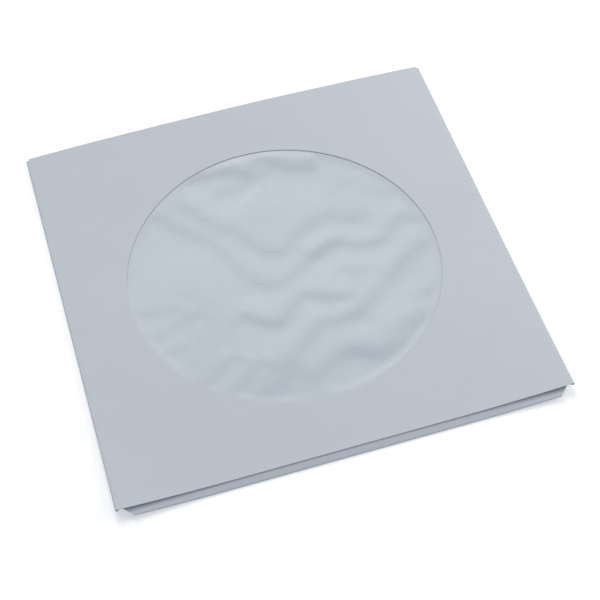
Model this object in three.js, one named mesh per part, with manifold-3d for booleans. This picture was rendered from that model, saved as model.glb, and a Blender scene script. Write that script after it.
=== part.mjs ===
// A paper sleeve for one disc, folded and glued from a single die-cut sheet.
// The face panel has a round window with a clear film glued behind it.
// Millimetres, +Z up. The sleeve lies window side up with its mouth towards -Y.
// The closing flap is folded under the back panel, and the origin is on the surface the sleeve lies on.

import * as THREE from 'three';
import { mergeVertices } from 'three/addons/utils/BufferGeometryUtils.js';
import Module from 'manifold-3d';

const wasm = await Module();
wasm.setup();

// Paper and sleeve
const paperThickness = 0.12;
const sleeveWidth = 126;
const sleeveDepth = 126;
const pocketHeight = 0.8; // clear height between the back panel and the face panel
const cornerRelief = 0.8; // how far each side of the back panel stays inside the folded edge
const lipDepth = 2.2; // how far the back panel reaches past the face panel at the mouth
const lipChamfer = 3.6; // cut corner of the back panel at the mouth

// Side flaps, glued down inside on the back panel
const sideFlapWidth = 12;
const sideFlapTaper = 7; // run of the slanted cut at each end
const flapGlue = 0.03; // glue between a side flap and the back panel
const flapRelief = 0.4; // a side flap ends this far short of the far fold

// Closing flap
const closingFlapDepth = 30;
const closingFlapTaper = 7; // how much narrower the free edge is on each side
const closingFlapCorner = 9; // rounding of the free corners
const closingFlapGap = 0.2; // springs this far off the back panel

// Window and film
const windowDiameter = 90;
const windowOffset = 1.6; // the window sits this far towards the mouth
const filmBorder = 6; // film glued behind the panel all round the window
const filmThickness = 0.05;
const filmGlue = 0.05;
const wrinkleFloor = 0.12; // clear height kept between the lowest wrinkle and the back panel

// How the sheet has settled
const farBow = 1.5; // the closed edge is arched up in its middle
const farBowReach = 63; // the arch dies away over this distance from the closed edge
const cornerCurl = 0.9; // the two corners at the mouth are lifted
const cornerCurlStart = 33; // the lift takes this much of the width from each side
const cornerCurlReach = 50; // and this much of the depth from the mouth
const settleReach = 55; // past the closing flap the back panel sinks to the surface over this distance

// Fineness
const foldSegments = 4; // steps in each quarter of a fold
const windowSegments = 96;
const sheetStep = 7; // grid of the paper's panels
const filmStep = 2.6; // grid of the film

// Heights of the layers, from the surface up
const flapTop = paperThickness;
const backBottom = flapTop + closingFlapGap;
const backTop = backBottom + paperThickness;
const sideFlapTop = backTop + flapGlue + paperThickness;
const faceBottom = backTop + pocketHeight;
const faceMiddle = faceBottom + paperThickness / 2;

// Folds: half rounds, by the radius of the paper's middle line
const sideFoldRadius = (faceBottom - sideFlapTop + paperThickness) / 2;
const farFoldRadius = (faceBottom - backTop + paperThickness) / 2;
const mouthFoldRadius = (backBottom - flapTop + paperThickness) / 2;

// Where the folds start, seen from above
const sideFoldX = sleeveWidth / 2 - sideFoldRadius - paperThickness / 2;
const farFoldY = sleeveDepth / 2 - farFoldRadius - paperThickness / 2;
const mouthY = -sleeveDepth / 2;
const mouthFoldY = mouthY - lipDepth + mouthFoldRadius + paperThickness / 2;
const flapEndY = mouthY - lipDepth + closingFlapDepth;
const backHalfWidth = sleeveWidth / 2 - cornerRelief;
const flapHalfWidth = backHalfWidth - lipChamfer;
const windowRadius = windowDiameter / 2;

// The blank lies flat: across it from its middle, along it from the mouth edge of the face panel
const sideFoldEnd = sideFoldX + Math.PI * sideFoldRadius;
const sideFlapEdge = sideFoldEnd + sideFlapWidth - (sleeveWidth / 2 - sideFoldX);
const faceEnd = farFoldY - mouthY;
const backStart = faceEnd + Math.PI * farFoldRadius;
const backEnd = backStart + farFoldY - mouthFoldY;
const flapStart = backEnd + Math.PI * mouthFoldRadius;
const flapEnd = flapStart + flapEndY - mouthFoldY;

const beyond = 1; // the uncut sheet and the cutters reach this far past what they cut

// A number of its own for each triangle keeps the grid lines of a flat face through a cut
function toSolid(geometry) {
  const bare = geometry.clone();
  bare.deleteAttribute('normal');
  bare.deleteAttribute('uv');
  const merged = mergeVertices(bare);
  const triangles = merged.index.count / 3;
  return new wasm.Manifold(new wasm.Mesh({
    numProp: 3,
    vertProperties: new Float32Array(merged.attributes.position.array),
    triVerts: new Uint32Array(merged.index.array),
    faceID: Uint32Array.from({ length: triangles }, (_, i) => i),
  }));
}

function toGeometry(solid) {
  const mesh = solid.getMesh();
  const geometry = new THREE.BufferGeometry();
  geometry.setAttribute('position', new THREE.BufferAttribute(mesh.vertProperties, 3));
  geometry.setIndex(new THREE.BufferAttribute(mesh.triVerts, 1));
  return geometry;
}

// Evenly spaced lines from the first place up to, but not at, the second
function lines(from, to, step) {
  const count = Math.ceil((to - from) / step);
  return Array.from({ length: count }, (_, i) => from + ((to - from) * i) / count);
}

function foldLines(from, to) {
  return lines(from, to, (to - from) / (2 * foldSegments) + 1e-9);
}

// The uncut sheet, with grid lines close together where it will be folded
function uncutSheet() {
  const acrossHalf = [
    ...lines(0, sideFoldX, sheetStep),
    ...foldLines(sideFoldX, sideFoldEnd),
    ...lines(sideFoldEnd, sideFlapEdge + beyond, sheetStep),
    sideFlapEdge + beyond,
  ];
  const across = [...acrossHalf.slice(1).reverse().map((x) => -x), ...acrossHalf];
  const along = [
    ...lines(-beyond, faceEnd, sheetStep),
    ...foldLines(faceEnd, backStart),
    ...lines(backStart, backEnd, sheetStep),
    ...foldLines(backEnd, flapStart),
    ...lines(flapStart, flapEnd + beyond, sheetStep),
    flapEnd + beyond,
  ];
  const columns = across.length - 1;
  const rows = along.length - 1;
  const geometry = new THREE.BoxGeometry(columns, rows, paperThickness, columns, rows, 1);
  const places = geometry.attributes.position;
  for (let i = 0; i < places.count; i += 1) {
    const column = Math.round(places.getX(i) + columns / 2);
    const row = Math.round(places.getY(i) + rows / 2);
    places.setXY(i, across[column], along[row]);
  }
  return toSolid(geometry);
}

// The outline that the sheet is cut to. Both halves mirror each other.
function blankOutline() {
  const tipHalfWidth = flapHalfWidth - closingFlapTaper;
  const slant = new THREE.Vector2(-closingFlapTaper, flapEnd - flapStart).setLength(closingFlapCorner);
  const outline = new THREE.Shape();
  outline.moveTo(-sideFoldEnd, 0);
  outline.lineTo(sideFoldEnd, 0);
  outline.lineTo(sideFlapEdge, sideFlapTaper);
  outline.lineTo(sideFlapEdge, faceEnd - sideFlapTaper);
  outline.lineTo(sideFoldEnd, faceEnd - flapRelief);
  outline.lineTo(backHalfWidth, faceEnd - flapRelief);
  outline.lineTo(backHalfWidth, backEnd - lipChamfer);
  outline.lineTo(flapHalfWidth, backEnd);
  outline.lineTo(flapHalfWidth, flapStart);
  outline.lineTo(tipHalfWidth - slant.x, flapEnd - slant.y);
  outline.quadraticCurveTo(tipHalfWidth, flapEnd, tipHalfWidth - closingFlapCorner, flapEnd);
  outline.lineTo(closingFlapCorner - tipHalfWidth, flapEnd);
  outline.quadraticCurveTo(-tipHalfWidth, flapEnd, slant.x - tipHalfWidth, flapEnd - slant.y);
  outline.lineTo(-flapHalfWidth, flapStart);
  outline.lineTo(-flapHalfWidth, backEnd);
  outline.lineTo(-backHalfWidth, backEnd - lipChamfer);
  outline.lineTo(-backHalfWidth, faceEnd - flapRelief);
  outline.lineTo(-sideFoldEnd, faceEnd - flapRelief);
  outline.lineTo(-sideFlapEdge, faceEnd - sideFlapTaper);
  outline.lineTo(-sideFlapEdge, sideFlapTaper);
  return outline;
}

// The die: what it stamps out of the sheet, window included
function dieCutter() {
  const depth = paperThickness + 2 * beyond;
  const outline = new THREE.ExtrudeGeometry(blankOutline(), {
    depth,
    bevelEnabled: false,
    curveSegments: 2 * foldSegments,
  });
  outline.translate(0, 0, -depth / 2);
  const window = new THREE.CylinderGeometry(windowRadius, windowRadius, 2 * depth, windowSegments);
  window.rotateX(Math.PI / 2);
  window.translate(0, -windowOffset - mouthY, 0);
  return toSolid(outline).subtract(toSolid(window));
}

// Follows the middle line of a sheet through flat runs and folds, from a start heading outwards.
// Gives how far out and how high a point is that lies at a distance along it and an offset off it.
function follow(stretches, start, distance, offset) {
  let [out, up] = start;
  let heading = 0;
  let left = distance;
  for (const { length, turn } of stretches) {
    const run = Math.min(left, length);
    if (turn === 0) {
      out += run * Math.cos(heading);
      up += run * Math.sin(heading);
    } else {
      const radius = length / turn;
      const turned = heading + run / radius;
      out += radius * (Math.sin(turned) - Math.sin(heading));
      up += radius * (Math.cos(heading) - Math.cos(turned));
      heading = turned;
    }
    left -= run;
  }
  return [out - offset * Math.sin(heading), up + offset * Math.cos(heading)];
}

const acrossTheSleeve = [
  { length: sideFoldX, turn: 0 },
  { length: sideFoldEnd - sideFoldX, turn: -Math.PI },
  { length: sideFlapEdge - sideFoldEnd, turn: 0 },
];

const alongTheSleeve = [
  { length: faceEnd, turn: 0 },
  { length: backStart - faceEnd, turn: -Math.PI },
  { length: backEnd - backStart, turn: 0 },
  { length: flapStart - backEnd, turn: Math.PI },
  { length: flapEnd - flapStart, turn: 0 },
];

// Where a point of the flat blank lies once the sheet is folded
function folded(x, along, offset) {
  if (Math.abs(x) > sideFoldX) {
    const [out, z] = follow(acrossTheSleeve, [0, faceMiddle], Math.abs(x), offset);
    return [Math.sign(x) * out, mouthY + along, z];
  }
  const [y, z] = follow(alongTheSleeve, [mouthY, faceMiddle], along, offset);
  return [x, y, z];
}

function smooth(share) {
  const s = Math.min(1, Math.max(0, share));
  return s * s * (3 - 2 * s);
}

function square(share) {
  const s = Math.max(0, share);
  return s * s;
}

// How far the settled sleeve lies above or below its flat place at x, y
function settledHeight(x, y) {
  const across = x / (sleeveWidth / 2);
  const fromFar = sleeveDepth / 2 - y;
  const fromSide = sleeveWidth / 2 - Math.abs(x);
  const fromMouth = y - mouthY;
  const arch = farBow * (1 - across * across) * square(1 - fromFar / farBowReach);
  const curl = cornerCurl * square(1 - fromSide / cornerCurlStart)
    * square(1 - fromMouth / cornerCurlReach);
  const sink = backBottom * smooth((y - flapEndY) / settleReach);
  return arch + curl - sink;
}

// Wrinkles of the film. Each runs along a curve drawn in shares of the window's radius.
// Its height is a share of the room under the film: below zero a valley, above zero a ridge.
function wrinkle(height, halfWidth, ...points) {
  const curve = new THREE.SplineCurve(points.map(([x, y]) => new THREE.Vector2(x, y)));
  return { height, halfWidth, line: curve.getSpacedPoints(6 * points.length) };
}

const wrinkles = [
  wrinkle(-0.8, 0.055, [-0.66, 0.66], [-0.31, 0.18], [-0.17, -0.08], [0.06, -0.05], [0.39, 0.09]),
  wrinkle(-0.9, 0.05, [0.32, 0.08], [0.56, 0.04], [0.81, 0.15], [0.96, 0.07]),
  wrinkle(-0.6, 0.055, [-0.5, 0.7], [-0.2, 0.37], [-0.09, 0.19], [0.03, 0.16], [0.37, 0.3], [0.66, 0.25]),
  wrinkle(0.3, 0.05, [-0.6, 0.73], [-0.25, 0.31], [-0.1, 0.03], [0.17, 0.13], [0.44, 0.2], [0.81, 0.24]),
  wrinkle(-0.7, 0.055, [-0.34, -0.27], [-0.2, -0.38], [-0.03, -0.3], [0.11, -0.26], [0.3, -0.34]),
  wrinkle(-0.7, 0.05, [-0.26, -0.83], [0.03, -0.55], [0.33, -0.46], [0.67, -0.19], [0.97, -0.08]),
  wrinkle(0.28, 0.06, [-0.25, -0.9], [0, -0.72], [0.22, -0.58], [0.45, -0.57], [0.78, -0.62]),
  wrinkle(-0.9, 0.06, [0, -0.88], [0.14, -0.76], [0.44, -0.81], [0.61, -0.71], [0.78, -0.64]),
  wrinkle(-0.8, 0.08, [-0.33, 0.97], [-0.11, 0.9], [0.04, 0.8], [-0.14, 0.7]),
  wrinkle(-0.7, 0.08, [0.2, 0.97], [0.26, 0.81], [0.42, 0.73]),
  wrinkle(-0.4, 0.04, [-0.97, -0.31], [-0.72, -0.23], [-0.53, -0.13]),
  wrinkle(-0.5, 0.045, [-0.6, -0.83], [-0.36, -0.63]),
  wrinkle(-0.45, 0.04, [-0.7, -0.72], [-0.53, -0.56]),
];

function distanceToLine(point, line) {
  const nearest = new THREE.Vector3();
  const place = new THREE.Vector3(point.x, point.y, 0);
  let least = Infinity;
  for (let i = 1; i < line.length; i += 1) {
    const start = new THREE.Vector3(line[i - 1].x, line[i - 1].y, 0);
    const end = new THREE.Vector3(line[i].x, line[i].y, 0);
    new THREE.Line3(start, end).closestPointToPoint(place, true, nearest);
    least = Math.min(least, nearest.distanceTo(place));
  }
  return least;
}

// Height of the film above or below its glued level. It is level where it is glued.
function wrinkleHeight(x, y) {
  const place = new THREE.Vector2(x, y + windowOffset).divideScalar(windowRadius);
  const room = pocketHeight - filmGlue - filmThickness - wrinkleFloor;
  let total = 0;
  for (const { height, halfWidth, line } of wrinkles) {
    const share = distanceToLine(place, line) / halfWidth;
    total += height * Math.exp(-share * share);
  }
  const free = 1 - smooth((place.length() - 0.9) / 0.12);
  return room * Math.tanh(total) * free;
}

function paperSleeve() {
  const geometry = toGeometry(uncutSheet().intersect(dieCutter()));
  const places = geometry.attributes.position;
  for (let i = 0; i < places.count; i += 1) {
    const [x, y, z] = folded(places.getX(i), places.getY(i), places.getZ(i));
    places.setXYZ(i, x, y, z + settledHeight(x, y));
  }
  geometry.computeVertexNormals();
  const paper = new THREE.MeshStandardMaterial({ color: 0xe9ecef, roughness: 0.85, metalness: 0 });
  const mesh = new THREE.Mesh(geometry, paper);
  mesh.name = 'paper_sleeve';
  return mesh;
}

function windowFilm() {
  const side = windowDiameter + 2 * filmBorder;
  const steps = Math.round(side / filmStep);
  const box = new THREE.BoxGeometry(side, side, filmThickness, steps, steps, 1);
  box.translate(0, -windowOffset, faceBottom - filmGlue - filmThickness / 2);
  box.deleteAttribute('normal');
  box.deleteAttribute('uv');
  const geometry = mergeVertices(box);
  const places = geometry.attributes.position;
  for (let i = 0; i < places.count; i += 1) {
    const x = places.getX(i);
    const y = places.getY(i);
    places.setZ(i, places.getZ(i) + settledHeight(x, y) + wrinkleHeight(x, y));
  }
  geometry.computeVertexNormals();
  const film = new THREE.MeshStandardMaterial({
    color: 0xf2f5f8,
    roughness: 0.25,
    metalness: 0,
    transparent: true,
    opacity: 0.4,
  });
  const mesh = new THREE.Mesh(geometry, film);
  mesh.name = 'window_film';
  return mesh;
}

const sleeve = new THREE.Group();
sleeve.position.y = lipDepth / 2; // puts the origin in the middle of the outline
sleeve.add(paperSleeve());
sleeve.add(windowFilm());

export default sleeve;
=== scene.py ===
# %% [markdown]
# # A paper sleeve with a film window
#
# This sleeve holds one disc. It is a single sheet of white paper, cut with a die, folded round and
# glued along both sides, and a thin clear film is glued behind the round hole in its face. The
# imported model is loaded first, as a fixed frame. The sizes below are those of that model, so the
# pieces made here need no fitting.

import math

import bmesh
import bpy
import numpy as np
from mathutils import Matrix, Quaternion, Vector, noise


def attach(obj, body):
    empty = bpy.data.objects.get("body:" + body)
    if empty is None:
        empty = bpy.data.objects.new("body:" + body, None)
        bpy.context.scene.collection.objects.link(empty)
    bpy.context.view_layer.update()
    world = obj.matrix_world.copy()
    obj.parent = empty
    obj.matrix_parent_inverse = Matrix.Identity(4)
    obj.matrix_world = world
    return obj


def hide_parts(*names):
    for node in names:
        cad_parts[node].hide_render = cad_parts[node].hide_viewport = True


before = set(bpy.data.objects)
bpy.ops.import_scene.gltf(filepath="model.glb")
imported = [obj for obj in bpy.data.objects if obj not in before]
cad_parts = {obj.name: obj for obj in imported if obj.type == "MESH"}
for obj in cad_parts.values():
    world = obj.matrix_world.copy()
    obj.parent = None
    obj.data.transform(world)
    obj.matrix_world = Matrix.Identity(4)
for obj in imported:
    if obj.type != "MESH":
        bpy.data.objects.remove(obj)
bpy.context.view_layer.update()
MM = 0.001

# %% [markdown]
# ## The camera
#
# The camera comes before the things that it looks at, so that every later step can be judged in the
# frame that counts. It could be placed by eye. Here its lens, place and tilt are numbers that were
# fitted to the four corners of the sleeve, which are known to make a square, so the perspective is
# right as well as the outline.

# %% Place the camera
LENS = 88.56
EYE = Vector((-59.5, -248.2, 336.7)) * MM
TARGET = Vector((1.1, -12.4, 1.3)) * MM
TILT = math.radians(-2.88)


def place_camera():
    camera = bpy.data.objects.new("camera", bpy.data.cameras.new("camera"))
    camera.data.sensor_width = 36
    camera.data.lens = LENS
    camera.location = EYE
    look = (TARGET - EYE).to_track_quat("-Z", "Y")
    camera.rotation_euler = (look @ Quaternion((0, 0, 1), TILT)).to_euler()
    bpy.context.scene.collection.objects.link(camera)
    bpy.context.scene.camera = camera


place_camera()
print("Camera is", round((TARGET - EYE).length, 3), "m from the sleeve")

# %% [markdown]
# ## The sheet of paper
#
# On the real sleeve the face, the back, both side flaps and the closing flap are one sheet. Five
# flat plates would look like plates, and their folds would be sharp seams. A sheet that is first
# cut flat and then folded keeps every fold round and the paper as wide as it really is, so this is
# how it is made here too. The sizes are those of the CAD part, in millimetres.

# %% Sizes of the sheet
PAPER = 0.12
WIDTH = 126
DEPTH = 126
POCKET = 0.8
CORNER_RELIEF = 0.8
LIP = 2.2
LIP_CHAMFER = 3.6
SIDE_FLAP = 12
SIDE_FLAP_TAPER = 7
FLAP_GLUE = 0.03
FLAP_RELIEF = 0.4
CLOSING_FLAP = 30
CLOSING_FLAP_TAPER = 7
CLOSING_FLAP_CORNER = 9
CLOSING_FLAP_GAP = 0.2
WINDOW_RADIUS = 45
WINDOW_OFFSET = 1.6

BACK_BOTTOM = PAPER + CLOSING_FLAP_GAP
BACK_TOP = BACK_BOTTOM + PAPER
SIDE_FLAP_TOP = BACK_TOP + FLAP_GLUE + PAPER
FACE_BOTTOM = BACK_TOP + POCKET
FACE_MIDDLE = FACE_BOTTOM + PAPER / 2
SIDE_FOLD = (FACE_BOTTOM - SIDE_FLAP_TOP + PAPER) / 2
FAR_FOLD = (FACE_BOTTOM - BACK_TOP + PAPER) / 2
MOUTH_FOLD = BACK_BOTTOM / 2
print("Layers in mm: back at", round(BACK_BOTTOM, 3), "side flap to", round(SIDE_FLAP_TOP, 3),
      "face at", round(FACE_BOTTOM, 3))

# %% [markdown]
# ## Where the folds lie
#
# A fold in paper is a small half round. Its length along the paper is pi times its radius, so the
# flat sheet has to be that much longer. Places across the flat sheet are counted from its middle,
# and places along it from the edge of the face at the mouth.

# %% Places on the flat sheet
MOUTH_Y = -DEPTH / 2
SIDE_FOLD_X = WIDTH / 2 - SIDE_FOLD - PAPER / 2
FAR_FOLD_Y = DEPTH / 2 - FAR_FOLD - PAPER / 2
MOUTH_FOLD_Y = MOUTH_Y - LIP + MOUTH_FOLD + PAPER / 2
FLAP_END_Y = MOUTH_Y - LIP + CLOSING_FLAP
BACK_HALF_WIDTH = WIDTH / 2 - CORNER_RELIEF
FLAP_HALF_WIDTH = BACK_HALF_WIDTH - LIP_CHAMFER

SIDE_FOLD_END = SIDE_FOLD_X + math.pi * SIDE_FOLD
SIDE_FLAP_EDGE = SIDE_FOLD_END + SIDE_FLAP - (WIDTH / 2 - SIDE_FOLD_X)
FACE_END = FAR_FOLD_Y - MOUTH_Y
BACK_START = FACE_END + math.pi * FAR_FOLD
BACK_END = BACK_START + FAR_FOLD_Y - MOUTH_FOLD_Y
FLAP_START = BACK_END + math.pi * MOUTH_FOLD
FLAP_END = FLAP_START + FLAP_END_Y - MOUTH_FOLD_Y
print("The flat sheet is", round(2 * SIDE_FLAP_EDGE, 1), "mm across and",
      round(FLAP_END, 1), "mm long")

# %% [markdown]
# ## Cut the sheet
#
# The hole is what the eye follows, so the mesh starts from it: a circle whose rim is drawn out once
# to the straight edges of the face. Cutting that band into rings keeps the rim perfectly round,
# which a square grid with a hole cut in it would not. The other panels then grow out of the borders
# of the face, one narrow strip after the other, with many strips where the paper will be folded.

# %% Helpers for cutting
# How many pieces each part of the sheet is cut into
SIDE_STEPS = 64
RINGS = 18
FOLD_STEPS = 12
BACK_STEPS = 50
CHAMFER_STEPS = 3
CLOSING_FLAP_STEPS = 9
CORNER_STEPS = 10
SIDE_FLAP_STEPS = 8
FIRST_STRIP = 0.01  # over this length the face narrows to the width of the back panel
SAME_PLACE = 1e-4  # points as near to a line as this lie on it


def steps(start, end, count):
    """Evenly spaced places after the start, the last of them at the end."""
    return [start + (end - start) * (i + 1) / count for i in range(count)]


def border_place(rim):
    """The point of the face's border that a point of the window's rim is drawn out to."""
    turn = (math.atan2(rim.y, rim.x) / (math.pi / 2) + 0.5) % 4
    side, share = int(turn), turn % 1
    right, far, near = SIDE_FOLD_X, FACE_END - FLAP_RELIEF, 0
    corners = [(right, near), (right, far), (-right, far), (-right, near)]
    start, end = Vector(corners[side]), Vector(corners[(side + 1) % 4])
    return start.lerp(end, share).to_3d()


def grow(bm, edges, axis, line, new_line):
    """Adds one strip of paper to a straight border. A line is its place and its two ends."""
    grown = bmesh.ops.extrude_edge_only(bm, edges=edges)["geom"]
    verts = {part for part in grown if isinstance(part, bmesh.types.BMVert)}
    (_, low, high), (place, new_low, new_high) = line, new_line
    for vert in verts:
        share = (vert.co[1 - axis] - low) / (high - low)
        vert.co[1 - axis] = new_low + share * (new_high - new_low)
        vert.co[axis] = place
    return [part for part in grown
            if isinstance(part, bmesh.types.BMEdge) and set(part.verts) <= verts]


print("Border of the face has", 4 * SIDE_STEPS, "points")

# %% Cut the face
def cut_face():
    bm = bmesh.new()
    bmesh.ops.create_circle(bm, cap_ends=False, radius=WINDOW_RADIUS, segments=4 * SIDE_STEPS)
    bmesh.ops.rotate(bm, verts=bm.verts, matrix=Quaternion((0, 0, 1), math.pi / 4).to_matrix())
    grown = bmesh.ops.extrude_edge_only(bm, edges=bm.edges)["geom"]
    border = {part for part in grown if isinstance(part, bmesh.types.BMVert)}
    for vert in bm.verts:
        if vert in border:
            vert.co = border_place(vert.co)
        else:
            vert.co.y -= WINDOW_OFFSET + MOUTH_Y
    spokes = [edge for edge in bm.edges if len(border.intersection(edge.verts)) == 1]
    bmesh.ops.subdivide_edges(bm, edges=spokes, cuts=RINGS - 1)
    return bm


def border_edges(bm, axis, place):
    """The edges of the border that runs straight at that place."""
    return [edge for edge in bm.edges
            if all(abs(vert.co[axis] - place) < SAME_PLACE for vert in edge.verts)]


blank = cut_face()
print("Face cut with", len(blank.faces), "faces")

# %% [markdown]
# ## The other panels
#
# On the die the back panel follows the far fold, and the closing flap follows the back panel. The
# back is a little narrower than the face, so that it stays hidden under it, and its corners at the
# mouth are cut off. The free corners of the closing flap are rounded, since sharp ones would catch
# and bend. The side flaps come last, because they belong to the face alone: had they come first,
# the far ends of their strips would have grown along with the back panel.

# %% Grow the back panel and the closing flap
def half_width(along):
    """Half the width of the sheet behind the far fold."""
    if along < FLAP_START:
        cut = max(0, along - (BACK_END - LIP_CHAMFER))
        return BACK_HALF_WIDTH - min(cut, LIP_CHAMFER)
    share = (along - FLAP_START) / (FLAP_END - FLAP_START)
    into_corner = max(0, 1 - (FLAP_END - along) / CLOSING_FLAP_CORNER)
    rounding = CLOSING_FLAP_CORNER * (1 - math.sqrt(max(0, 1 - into_corner**2)))
    return FLAP_HALF_WIDTH - CLOSING_FLAP_TAPER * share - rounding


def grow_back(bm):
    start = FACE_END - FLAP_RELIEF
    flap_corner = FLAP_END - CLOSING_FLAP_CORNER
    places = (
        [start + FIRST_STRIP]
        + steps(start + FIRST_STRIP, FACE_END, 1)
        + steps(FACE_END, BACK_START, FOLD_STEPS)
        + steps(BACK_START, BACK_END - LIP_CHAMFER, BACK_STEPS)
        + steps(BACK_END - LIP_CHAMFER, BACK_END, CHAMFER_STEPS)
        + steps(BACK_END, FLAP_START, FOLD_STEPS)
        + steps(FLAP_START, flap_corner, CLOSING_FLAP_STEPS)
        + [flap_corner + CLOSING_FLAP_CORNER * math.sin(turn)
           for turn in steps(0, math.pi / 2, CORNER_STEPS)]
    )
    line = (start, -SIDE_FOLD_X, SIDE_FOLD_X)
    edges = border_edges(bm, 1, start)
    for along in places:
        new_line = (along, -half_width(along), half_width(along))
        edges = grow(bm, edges, 1, line, new_line)
        line = new_line


grow_back(blank)
print("The blank is", round(max(vert.co.y for vert in blank.verts), 1), "mm long")

# %% Grow the side flaps
def grow_side_flap(bm, side):
    far = FACE_END - FLAP_RELIEF
    line = (side * SIDE_FOLD_X, 0, far)
    edges = border_edges(bm, 0, side * SIDE_FOLD_X)
    places = (
        steps(SIDE_FOLD_X, SIDE_FOLD_END, FOLD_STEPS)
        + steps(SIDE_FOLD_END, SIDE_FLAP_EDGE, SIDE_FLAP_STEPS)
    )
    for out in places:
        share = max(0, (out - SIDE_FOLD_END) / (SIDE_FLAP_EDGE - SIDE_FOLD_END))
        taper = SIDE_FLAP_TAPER * share
        new_line = (side * out, taper, far - (taper - FLAP_RELIEF * share))
        edges = grow(bm, edges, 0, line, new_line)
        line = new_line


for side in (-1, 1):
    grow_side_flap(blank, side)
print("Side flaps reach", round(max(vert.co.x for vert in blank.verts), 2), "mm from the middle")

# %% [markdown]
# ## The thickness of the paper
#
# Even thin paper shows its cut edge as a fine line. A Solidify modifier on the folded sheet would
# thicken it too, but in a tight fold it has to guess which way is out. While the blank is flat
# there is only up and down, so the thickness is exact, and folding keeps it.

# %% Give the paper its thickness
def thicken(bm, thickness):
    """Turns a flat sheet at height zero into a closed one, half of it above and half below."""
    bmesh.ops.solidify(bm, geom=bm.faces[:], thickness=thickness)
    middle = (max(vert.co.z for vert in bm.verts) + min(vert.co.z for vert in bm.verts)) / 2
    bmesh.ops.translate(bm, verts=bm.verts, vec=(0, 0, -middle))
    bmesh.ops.recalc_face_normals(bm, faces=bm.faces)


thicken(blank, PAPER)
print("The blank is", round(2 * max(vert.co.z for vert in blank.verts), 3), "mm thick and has",
      len(blank.faces), "faces")

# %% [markdown]
# ## Fold the sheet
#
# A fold could be bent with an armature or a Simple Deform modifier, but both stretch the paper.
# Here each point of the flat sheet is walked along flat runs and half rounds for as far as it lies
# from the middle, so no part of the paper gets longer or shorter. Each run below is its length and
# how far it turns.

# %% Helpers for folding
ACROSS = [
    (SIDE_FOLD_X, 0),
    (SIDE_FOLD_END - SIDE_FOLD_X, -math.pi),
    (SIDE_FLAP_EDGE - SIDE_FOLD_END, 0),
]
ALONG = [
    (FACE_END, 0),
    (BACK_START - FACE_END, -math.pi),
    (BACK_END - BACK_START, 0),
    (FLAP_START - BACK_END, math.pi),
    (FLAP_END - FLAP_START, 0),
]


def follow(stretches, out, distance, offset):
    """Place and height after a walk along the stretches, at an offset from the paper's middle."""
    up = FACE_MIDDLE
    heading = 0
    for length, turn in stretches:
        run = max(0, min(distance, length))
        if turn:
            turned = heading + turn * run / length
            out += length / turn * (math.sin(turned) - math.sin(heading))
            up += length / turn * (math.cos(heading) - math.cos(turned))
            heading = turned
        else:
            out += run * math.cos(heading)
            up += run * math.sin(heading)
        distance -= run
    return out - offset * math.sin(heading), up + offset * math.cos(heading)


def folded(x, along, offset):
    """Where a point of the flat sheet comes to lie once the sheet is folded."""
    if abs(x) > SIDE_FOLD_X:
        out, z = follow(ACROSS, 0, abs(x), offset)
        return math.copysign(out, x), MOUTH_Y + along, z
    return x, *follow(ALONG, MOUTH_Y, along, offset)


print("Edge of the side flap folds to", [round(c, 2) for c in folded(SIDE_FLAP_EDGE, 60, 0)])

# %% [markdown]
# ## Let the sleeve settle
#
# A folded sleeve never lies quite flat, and its slow bends are all that the light can show on plain
# paper. A cloth simulation would bend it too, but not where the real one bends. So each movement is
# a short formula here. The closed edge arches up in its middle, the two corners at the mouth lift,
# and past the closing flap the back sinks to the table. At the mouth the face sags into the empty
# pocket, the closing flap springs the back up towards it, and the lip droops. The slight cockle
# that paper takes from the air comes last.

# %% Helpers for settling
FAR_BOW = 1.5
FAR_BOW_REACH = 63
CORNER_CURL = 0.9
CORNER_CURL_START = 33
CORNER_CURL_REACH = 50
SETTLE_REACH = 55
COCKLE = 0.12
COCKLE_BASE = 0.6
LONG_WAVE = (48, 34)
SHORT_WAVE = (19, 23)
SHORT_WAVE_SHARE = 0.4
MOUTH_SAG = 0.28
MOUTH_LIFT = 0.48
LIP_DROOP = 0.1
MOUTH_SAG_REACH = 40
SHARP_ANGLE = math.radians(35)


def smooth(share):
    """A share that leaves 0 and reaches 1 without a kink."""
    share = np.clip(share, 0, 1)
    return share * share * (3 - 2 * share)


def settled_height(x, y):
    """How far the settled sleeve lies above or below its flat place."""
    from_far = DEPTH / 2 - y
    from_side = WIDTH / 2 - abs(x)
    from_mouth = y - MOUTH_Y
    arch = FAR_BOW * (1 - (2 * x / WIDTH) ** 2) * max(0, 1 - from_far / FAR_BOW_REACH) ** 2
    curl = (CORNER_CURL * max(0, 1 - from_side / CORNER_CURL_START) ** 2
            * max(0, 1 - from_mouth / CORNER_CURL_REACH) ** 2)
    sink = BACK_BOTTOM * float(smooth((y - FLAP_END_Y) / SETTLE_REACH))
    return arch + curl - sink


def cockle(x, y):
    """Slow waves of the paper, a few centimetres long, past the end of the closing flap."""
    long_wave = noise.noise(Vector((x / LONG_WAVE[0], y / LONG_WAVE[1], 1.7)))
    short_wave = noise.noise(Vector((x / SHORT_WAVE[0], y / SHORT_WAVE[1], 5.1)))
    wave = long_wave + SHORT_WAVE_SHARE * short_wave
    return COCKLE * (COCKLE_BASE + wave) ** 2 * float(smooth((y - FLAP_END_Y) / SETTLE_REACH))


def sag(x, y):
    """How far the face hangs down into the empty pocket, most at the middle of the mouth."""
    across = np.minimum(1, np.abs(x) / SIDE_FOLD_X)
    return MOUTH_SAG * (1 - across**4) * smooth(1 - (y - MOUTH_Y) / MOUTH_SAG_REACH)


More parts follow.
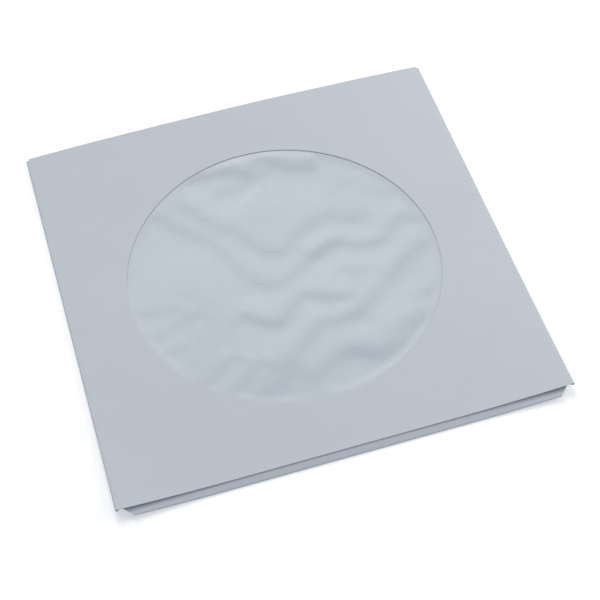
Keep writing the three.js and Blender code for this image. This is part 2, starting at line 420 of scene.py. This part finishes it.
def lift(x, y):
    """How far the closing flap springs the back up at the mouth. Past the mouth the lip droops."""
    across = min(1, abs(x) / SIDE_FOLD_X)
    past = max(0, MOUTH_Y - y) / LIP
    spring = MOUTH_LIFT * float(smooth(1 - (y - MOUTH_Y) / MOUTH_SAG_REACH)) * (1 - past)
    return (spring - LIP_DROOP * past) * (1 - across**4)


def settled(flat_x, along, offset):
    """Where a point of the flat sheet comes to rest on the folded and settled sleeve."""
    x, y, z = folded(flat_x, along, offset)
    if along < FACE_END and abs(flat_x) < SIDE_FOLD_END:
        moved = -sag(x, y)
    else:
        before_flap = (FLAP_START - along) / (FLAP_START - BACK_END)
        moved = lift(x, y) * float(np.clip(before_flap, 0, 1))
    return x, y, z + moved + settled_height(x, y) + cockle(x, y)


print("Middle of the closed edge settles at", round(settled_height(0, DEPTH / 2), 2), "mm")

# %% Fold and settle the sheet
def to_object(bm, name):
    """Centres the mesh on the sleeve's outline, turns it to metres and makes it an object."""
    bmesh.ops.translate(bm, verts=bm.verts, vec=(0, LIP / 2, 0))
    bmesh.ops.scale(bm, verts=bm.verts, vec=(MM, MM, MM))
    mesh = bpy.data.meshes.new(name)
    bm.to_mesh(mesh)
    bm.free()
    mesh.shade_smooth()
    mesh.set_sharp_from_angle(angle=SHARP_ANGLE)
    piece = bpy.data.objects.new(name, mesh)
    bpy.context.scene.collection.objects.link(piece)
    return piece


for vert in blank.verts:
    vert.co = settled(*vert.co)
folded_paper = to_object(blank, "folded_paper")
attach(folded_paper, "root")
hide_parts("paper_sleeve")
paper_top = max(vert.co.z for vert in folded_paper.data.vertices)
print("Folded paper reaches", round(paper_top / MM, 2), "mm up")

# %% [markdown]
# ## The wrinkled film
#
# The film is so thin that the glue round it pulls it into creases as it dries. They are the one
# lively thing on a plain white sleeve. A noise pattern would give creases of even size everywhere.
# The real ones are few and long, so each is laid here as a curve of its own, drawn from left to
# right in shares of the window's radius. The film climbs steeply across the line and falls back
# gently on both sides, which under a lamp shows as one dark line between two pale bands.

# %% Helpers for the creases
CREASE_FADE = 0.12  # each end of a crease fades out over this share of its line
CREASE_REACH = 3.2  # a crease dies away over this many of its widths
SPAN_PIECES = 10  # straight pieces between two points of a line


def smooth_line(points):
    """A curve through the points, as many short straight pieces."""
    ends = [2 * Vector(points[0]) - Vector(points[1]), 2 * Vector(points[-1]) - Vector(points[-2])]
    knots = [np.array(p) for p in (ends[0], *points, ends[1])]
    line = []
    for a, b, c, d in zip(knots, knots[1:], knots[2:], knots[3:]):
        for t in np.arange(SPAN_PIECES) / SPAN_PIECES:
            line.append(0.5 * (2 * b + (c - a) * t + (2 * a - 5 * b + 4 * c - d) * t**2
                               + (3 * b - a - 3 * c + d) * t**3))
    return np.array([*line, knots[-2]])


def beside_line(places, line):
    """For each place, its distance from the line, positive on the left, and its share along it."""
    starts, runs = line[:-1], np.diff(line, axis=0)
    lengths = np.linalg.norm(runs, axis=1)
    reached = np.concatenate([[0], np.cumsum(lengths)])
    least = np.full(len(places), np.inf)
    signed, share = np.zeros(len(places)), np.zeros(len(places))
    for start, run, length, before in zip(starts, runs, lengths, reached):
        offset = places - start
        t = np.clip(offset @ run / length**2, 0, 1)
        away = offset - t[:, None] * run
        distance = np.linalg.norm(away, axis=1)
        nearer = distance < least
        left = np.sign(run[0] * offset[:, 1] - run[1] * offset[:, 0])
        least[nearer] = distance[nearer]
        signed[nearer] = (left * distance)[nearer]
        share[nearer] = ((before + t * length) / reached[-1])[nearer]
    return signed, share


def crease(places, height, width, *points):
    """Height of one crease at each place. It fades out at both ends of its line."""
    signed, share = beside_line(places, smooth_line(points))
    fade = smooth(share / CREASE_FADE) * smooth((1 - share) / CREASE_FADE)
    dying = np.exp(-((signed / (CREASE_REACH * width)) ** 2))
    return height * fade * np.tanh(signed / width) * dying


print("A line through three points has", len(smooth_line([(0, 0), (1, 1), (2, 0)])), "points")

# %% Lay the creases
FILM = 0.05
FILM_GLUE = 0.05
FILM_SIDE = 102
FILM_STEPS = 170
SOFTENINGS = 3
CLEARANCE = 0.12  # kept between the film and the back panel
LOWEST = POCKET - FILM_GLUE - FILM - CLEARANCE
CRUMPLE = 0.12  # unevenness between the creases
CRUMPLE_FINENESS = 2.6
FILM_SINK = 0.05
DIP = 0.26  # the film hangs lower near the rim on one side
DIP_TURN = 20  # degrees round from the right
DIP_SPREAD = 38
DIP_START = 0.7  # share of the window's radius
DIP_RISE = 0.25
GLUE_START = 0.94
FREE_SHARE = 0.98

# Each crease is its height in millimetres, then its width and its line in shares of the radius
CREASES = [
    (0.22, 0.050, (-0.76, 0.80), (-0.56, 0.51), (-0.39, 0.34), (-0.27, 0.09), (-0.19, -0.05),
     (-0.08, -0.10), (0.06, -0.05), (0.22, 0.04), (0.35, 0.10), (0.46, 0.08)),
    (0.24, 0.042, (0.14, 0.00), (0.36, 0.10), (0.50, 0.04), (0.67, 0.03), (0.76, 0.12),
     (0.86, 0.17), (0.98, 0.07)),
    (0.22, 0.052, (-0.58, 0.84), (-0.33, 0.48), (-0.22, 0.40), (-0.14, 0.26), (-0.05, 0.16),
     (0.05, 0.15), (0.14, 0.23), (0.28, 0.30), (0.39, 0.33), (0.53, 0.27), (0.74, 0.27)),
    (0.27, 0.045, (-0.40, -0.22), (-0.25, -0.35), (-0.14, -0.39), (0.00, -0.27), (0.09, -0.24),
     (0.22, -0.30), (0.40, -0.34)),
    (0.25, 0.048, (-0.34, -0.94), (-0.11, -0.66), (0.00, -0.56), (0.11, -0.48), (0.22, -0.49),
     (0.42, -0.44)),
    (0.25, 0.048, (0.24, -0.54), (0.40, -0.44), (0.56, -0.32), (0.72, -0.19), (0.86, -0.10),
     (1.00, -0.09)),
    (0.38, 0.060, (-0.08, -0.92), (0.08, -0.77), (0.22, -0.74), (0.36, -0.80), (0.50, -0.77),
     (0.64, -0.66), (0.84, -0.60)),
    (0.34, 0.060, (-0.44, 0.94), (-0.26, 0.91), (-0.10, 0.88), (0.02, 0.81), (0.09, 0.74)),
    (0.16, 0.050, (-0.30, 0.72), (-0.16, 0.73), (-0.04, 0.76), (0.06, 0.79)),
    (0.36, 0.062, (0.06, 0.97), (0.17, 0.89), (0.28, 0.80), (0.48, 0.76)),
    (0.10, 0.035, (-1.00, -0.32), (-0.80, -0.23), (-0.58, -0.14)),
    (0.08, 0.030, (-1.00, -0.04), (-0.84, -0.09), (-0.68, -0.08)),
    (0.09, 0.030, (-0.92, -0.46), (-0.84, -0.40), (-0.72, -0.38)),
    (0.17, 0.040, (-0.66, -0.90), (-0.48, -0.74), (-0.32, -0.60)),
    (0.16, 0.036, (-0.78, -0.76), (-0.62, -0.65), (-0.46, -0.52)),
    (0.13, 0.042, (-0.50, -0.98), (-0.34, -0.80), (-0.20, -0.62)),
    (0.11, 0.045, (0.32, -0.08), (0.44, -0.16), (0.56, -0.12)),
    (0.11, 0.035, (0.70, -0.48), (0.84, -0.44), (0.98, -0.38)),
    (0.11, 0.050, (0.62, 0.62), (0.72, 0.46), (0.90, 0.36)),
]


def film_height(places):
    """Height of the film over its glued level. Places are shares of the window's radius."""
    total = sum(crease(places, *facts) for facts in CREASES)
    crumple = np.array([
        noise.noise(Vector((CRUMPLE_FINENESS * x, CRUMPLE_FINENESS * y, 0.3))) for x, y in places])
    out = np.linalg.norm(places, axis=1)
    turn = np.degrees(np.arctan2(places[:, 1], places[:, 0]))
    dip = np.exp(-(((turn - DIP_TURN) / DIP_SPREAD) ** 2)) * smooth((out - DIP_START) / DIP_RISE)
    total += CRUMPLE * crumple - FILM_SINK - DIP * dip
    free = 1 - smooth((out - GLUE_START) / (1 - GLUE_START))
    room = LOWEST - sag(WINDOW_RADIUS * places[:, 0], WINDOW_RADIUS * places[:, 1] - WINDOW_OFFSET)
    return room * np.tanh(total / room) * free


def glue_in_film():
    bm = bmesh.new()
    bmesh.ops.create_grid(bm, x_segments=FILM_STEPS, y_segments=FILM_STEPS, size=FILM_SIDE / 2)
    thicken(bm, FILM)
    middle = FACE_BOTTOM - FILM_GLUE - FILM / 2
    bmesh.ops.translate(bm, verts=bm.verts, vec=(0, -WINDOW_OFFSET, middle))
    places = np.array([(vert.co.x, vert.co.y + WINDOW_OFFSET) for vert in bm.verts]) / WINDOW_RADIUS
    for vert, height in zip(bm.verts, film_height(places)):
        vert.co.z += height
    free = [vert for vert, place in zip(bm.verts, places) if np.linalg.norm(place) < FREE_SHARE]
    for _ in range(SOFTENINGS):
        bmesh.ops.smooth_vert(bm, verts=free, factor=0.5, use_axis_z=True)
    for vert in bm.verts:
        x, y, z = vert.co
        vert.co.z = z + settled_height(x, y) + cockle(x, y) - sag(x, y)
    return to_object(bm, "clear_film")


clear_film = glue_in_film()
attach(clear_film, "root")
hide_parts("window_film")
print("Film has", len(clear_film.data.polygons), "faces")

# %% [markdown]
# ## Shader maths
#
# A finish is a sum of small effects, and sums are easier to read as Python than as rows of nodes.
# The class below wraps the output of a node, so that a sum or product of two of them adds the Math
# nodes. Its method node adds any other node.

# %% A wrapped socket
class Signal:
    """A number, colour or vector that changes over a surface."""

    def __init__(self, tree, socket=None):
        self.tree = tree
        self.socket = socket

    def node(self, kind, settings, sockets, output=0):
        made = self.tree.nodes.new(kind)
        for name, value in settings.items():
            setattr(made, name, value)
        for name, value in sockets.items():
            if isinstance(value, Signal):
                self.tree.links.new(value.socket, made.inputs[name])
            else:
                made.inputs[name].default_value = value
        return Signal(self.tree, made.outputs[output] if made.outputs else None)

    def math(self, operation, first, second):
        return self.node("ShaderNodeMath", {"operation": operation}, {0: first, 1: second})

    def __add__(self, other):
        return self.math("ADD", self, other)

    def __radd__(self, other):
        return self.math("ADD", other, self)

    def __mul__(self, other):
        return self.math("MULTIPLY", self, other)

    def __rmul__(self, other):
        return self.math("MULTIPLY", other, self)


def new_material(name):
    """A bare material, and a signal to start its tree with: the place on the piece, in metres."""
    material = bpy.data.materials.new(name)
    material.use_nodes = True
    material.node_tree.nodes.clear()
    place = Signal(material.node_tree).node("ShaderNodeTexCoord", {}, {}, "Object")
    return material, place


def noise_over(place, scale, detail, roughness, stretch=(1, 1, 1)):
    """Noise whose grains are about one part in scale of a metre, from about 0.3 to 0.7."""
    stretched = place.node("ShaderNodeMapping", {}, {"Vector": place, "Scale": stretch})
    return place.node("ShaderNodeTexNoise", {}, {
        "Vector": stretched, "Scale": scale, "Detail": detail, "Roughness": roughness})


def mix_colours(share, first, second):
    """The first colour where the share is 0 and the second where it is 1."""
    return share.node("ShaderNodeMix", {"data_type": "RGBA"}, {0: share, 6: first, 7: second}, 2)


print("Shader helpers ready")

# %% [markdown]
# ## Paper
#
# Uncoated office paper is a mat of fibres. Close up it has a fine tooth that scatters light, held
# up to the light it is slightly cloudy, and blue whitener gives it a cool tone. A flat grey would
# look like plastic. The tooth is a bump of a few hundredths of a millimetre, drawn out a little
# along the machine direction. The cloudiness changes the colour by a few parts in a hundred, and
# the roughness a little more.

# %% Finish the paper
def paper_material():
    material, place = new_material("uncoated_paper")
    clouds = noise_over(place, 130, 4, 0.55)
    patches = noise_over(place, 24, 2, 0.5)
    fibres = noise_over(place, 1500, 4, 0.65, (1, 0.45, 1))
    tone = clouds * 0.55 + patches * 0.45
    colour = mix_colours(tone, (0.690, 0.722, 0.785, 1), (0.755, 0.782, 0.840, 1))
    tooth = place.node("ShaderNodeBump", {}, {
        "Strength": 0.5, "Distance": 0.00006, "Height": fibres})
    surface = place.node("ShaderNodeBsdfPrincipled", {}, {
        "Base Color": colour,
        "Roughness": 0.72 + clouds * 0.2,
        "IOR": 1.45,
        "Specular IOR Level": 0.35,
        "Normal": tooth,
    })
    place.node("ShaderNodeOutputMaterial", {}, {"Surface": surface})
    return material


folded_paper.data.materials.append(paper_material())
print("Paper finished")

# %% [markdown]
# ## Film
#
# The film is a clear plastic that has gone milky with handling. The paper behind it only shows
# through as a tone, and the film's own surface carries the light and shade of the creases. Real
# refraction through two walls a twentieth of a millimetre apart would only cost time, so the film
# is partly see-through instead. Fine crumpling and a gloss that varies from patch to patch finish
# it.

# %% Finish the film
def film_material():
    material, place = new_material("milky_film")
    crumple = noise_over(place, 260, 3, 0.55)
    haze = noise_over(place, 55, 2, 0.5)
    colour = mix_colours(haze, (0.82, 0.885, 0.96, 1), (0.88, 0.94, 1.0, 1))
    ripple = place.node("ShaderNodeBump", {}, {
        "Strength": 0.3, "Distance": 0.0002, "Height": crumple})
    surface = place.node("ShaderNodeBsdfPrincipled", {}, {
        "Base Color": colour,
        "Roughness": 0.36 + haze * 0.2,
        "IOR": 1.5,
        "Specular IOR Level": 0.6,
        "Alpha": 0.58 + haze * 0.12,
        "Normal": ripple,
    })
    place.node("ShaderNodeOutputMaterial", {}, {"Surface": surface})
    return material


clear_film.data.materials.append(film_material())
print("Film finished")

# %% [markdown]
# ## Floor and light
#
# The sleeve lies on a white table in a pale room. One wide, slightly warm lamp stands behind it and
# a weaker one on its right. They are wide, so the shadows are soft, and low enough to draw out the
# creases. The light of the room is cooler, which turns the shade under the face blue. The floor
# could be lit until it is white, but then the paper would wash out. It glows a little for the
# camera instead, which leaves the light on the paper alone and keeps the shadow.

# %% Lay the floor
FLOOR_HALF = 2500
FLOOR_DROP = 0.05
FLOOR_GLOW = 0.42


def lay_floor():
    bm = bmesh.new()
    bmesh.ops.create_grid(bm, x_segments=8, y_segments=8, size=FLOOR_HALF)
    bmesh.ops.translate(bm, verts=bm.verts, vec=(0, 0, -FLOOR_DROP))
    floor = to_object(bm, "floor")
    material, place = new_material("white_table")
    rays = place.node("ShaderNodeLightPath", {}, {}, "Is Camera Ray")
    gloss = place.node("ShaderNodeLightPath", {}, {}, "Is Glossy Ray")
    through = place.node("ShaderNodeLightPath", {}, {}, "Is Transmission Ray")
    seen = (rays + gloss + through) * FLOOR_GLOW
    glow = place.node("ShaderNodeEmission", {}, {"Strength": seen})
    table = place.node("ShaderNodeBsdfDiffuse", {}, {"Color": (0.9, 0.9, 0.9, 1)})
    surface = place.node("ShaderNodeAddShader", {}, {0: table, 1: glow})
    place.node("ShaderNodeOutputMaterial", {}, {"Surface": surface})
    floor.data.materials.append(material)


lay_floor()
print("Floor laid")

# %% Light the scene
# Each lamp is its place in metres, its width in metres and its power in watts
LAMPS = {
    "far_lamp": ((0.1, 2.2, 1.43), 1.4, 40.5),
    "right_lamp": ((0.62, 0.12, 0.36), 0.35, 1.45),
}
LAMP_COLOUR = (1.0, 0.945, 0.87)
ROOM_LIGHT = 0.37
ROOM_COLOUR = (0.77, 0.88, 1.0, 1)
WHITE = (1, 1, 1, 1)


def hang_lamp(name, place, size, power):
    lamp = bpy.data.objects.new(name, bpy.data.lights.new(name, "AREA"))
    lamp.data.shape = "SQUARE"
    lamp.data.size = size
    lamp.data.energy = power
    lamp.data.color = LAMP_COLOUR
    lamp.location = place
    lamp.rotation_euler = (-Vector(place)).to_track_quat("-Z", "Y").to_euler()
    bpy.context.scene.collection.objects.link(lamp)


def light_room():
    world = bpy.data.worlds.new("pale_room")
    world.use_nodes = True
    world.node_tree.nodes.clear()
    start = Signal(world.node_tree)
    seen = start.node("ShaderNodeLightPath", {}, {}, "Is Camera Ray")
    colour = mix_colours(seen, ROOM_COLOUR, WHITE)
    strength = ROOM_LIGHT + seen * (1 - ROOM_LIGHT)
    light = start.node("ShaderNodeBackground", {}, {"Color": colour, "Strength": strength})
    start.node("ShaderNodeOutputWorld", {}, {"Surface": light})
    bpy.context.scene.world = world


for name, facts in LAMPS.items():
    hang_lamp(name, *facts)
light_room()
bpy.context.scene.view_settings.view_transform = "Standard"
print(len(LAMPS), "lamps and a room light of", ROOM_LIGHT)
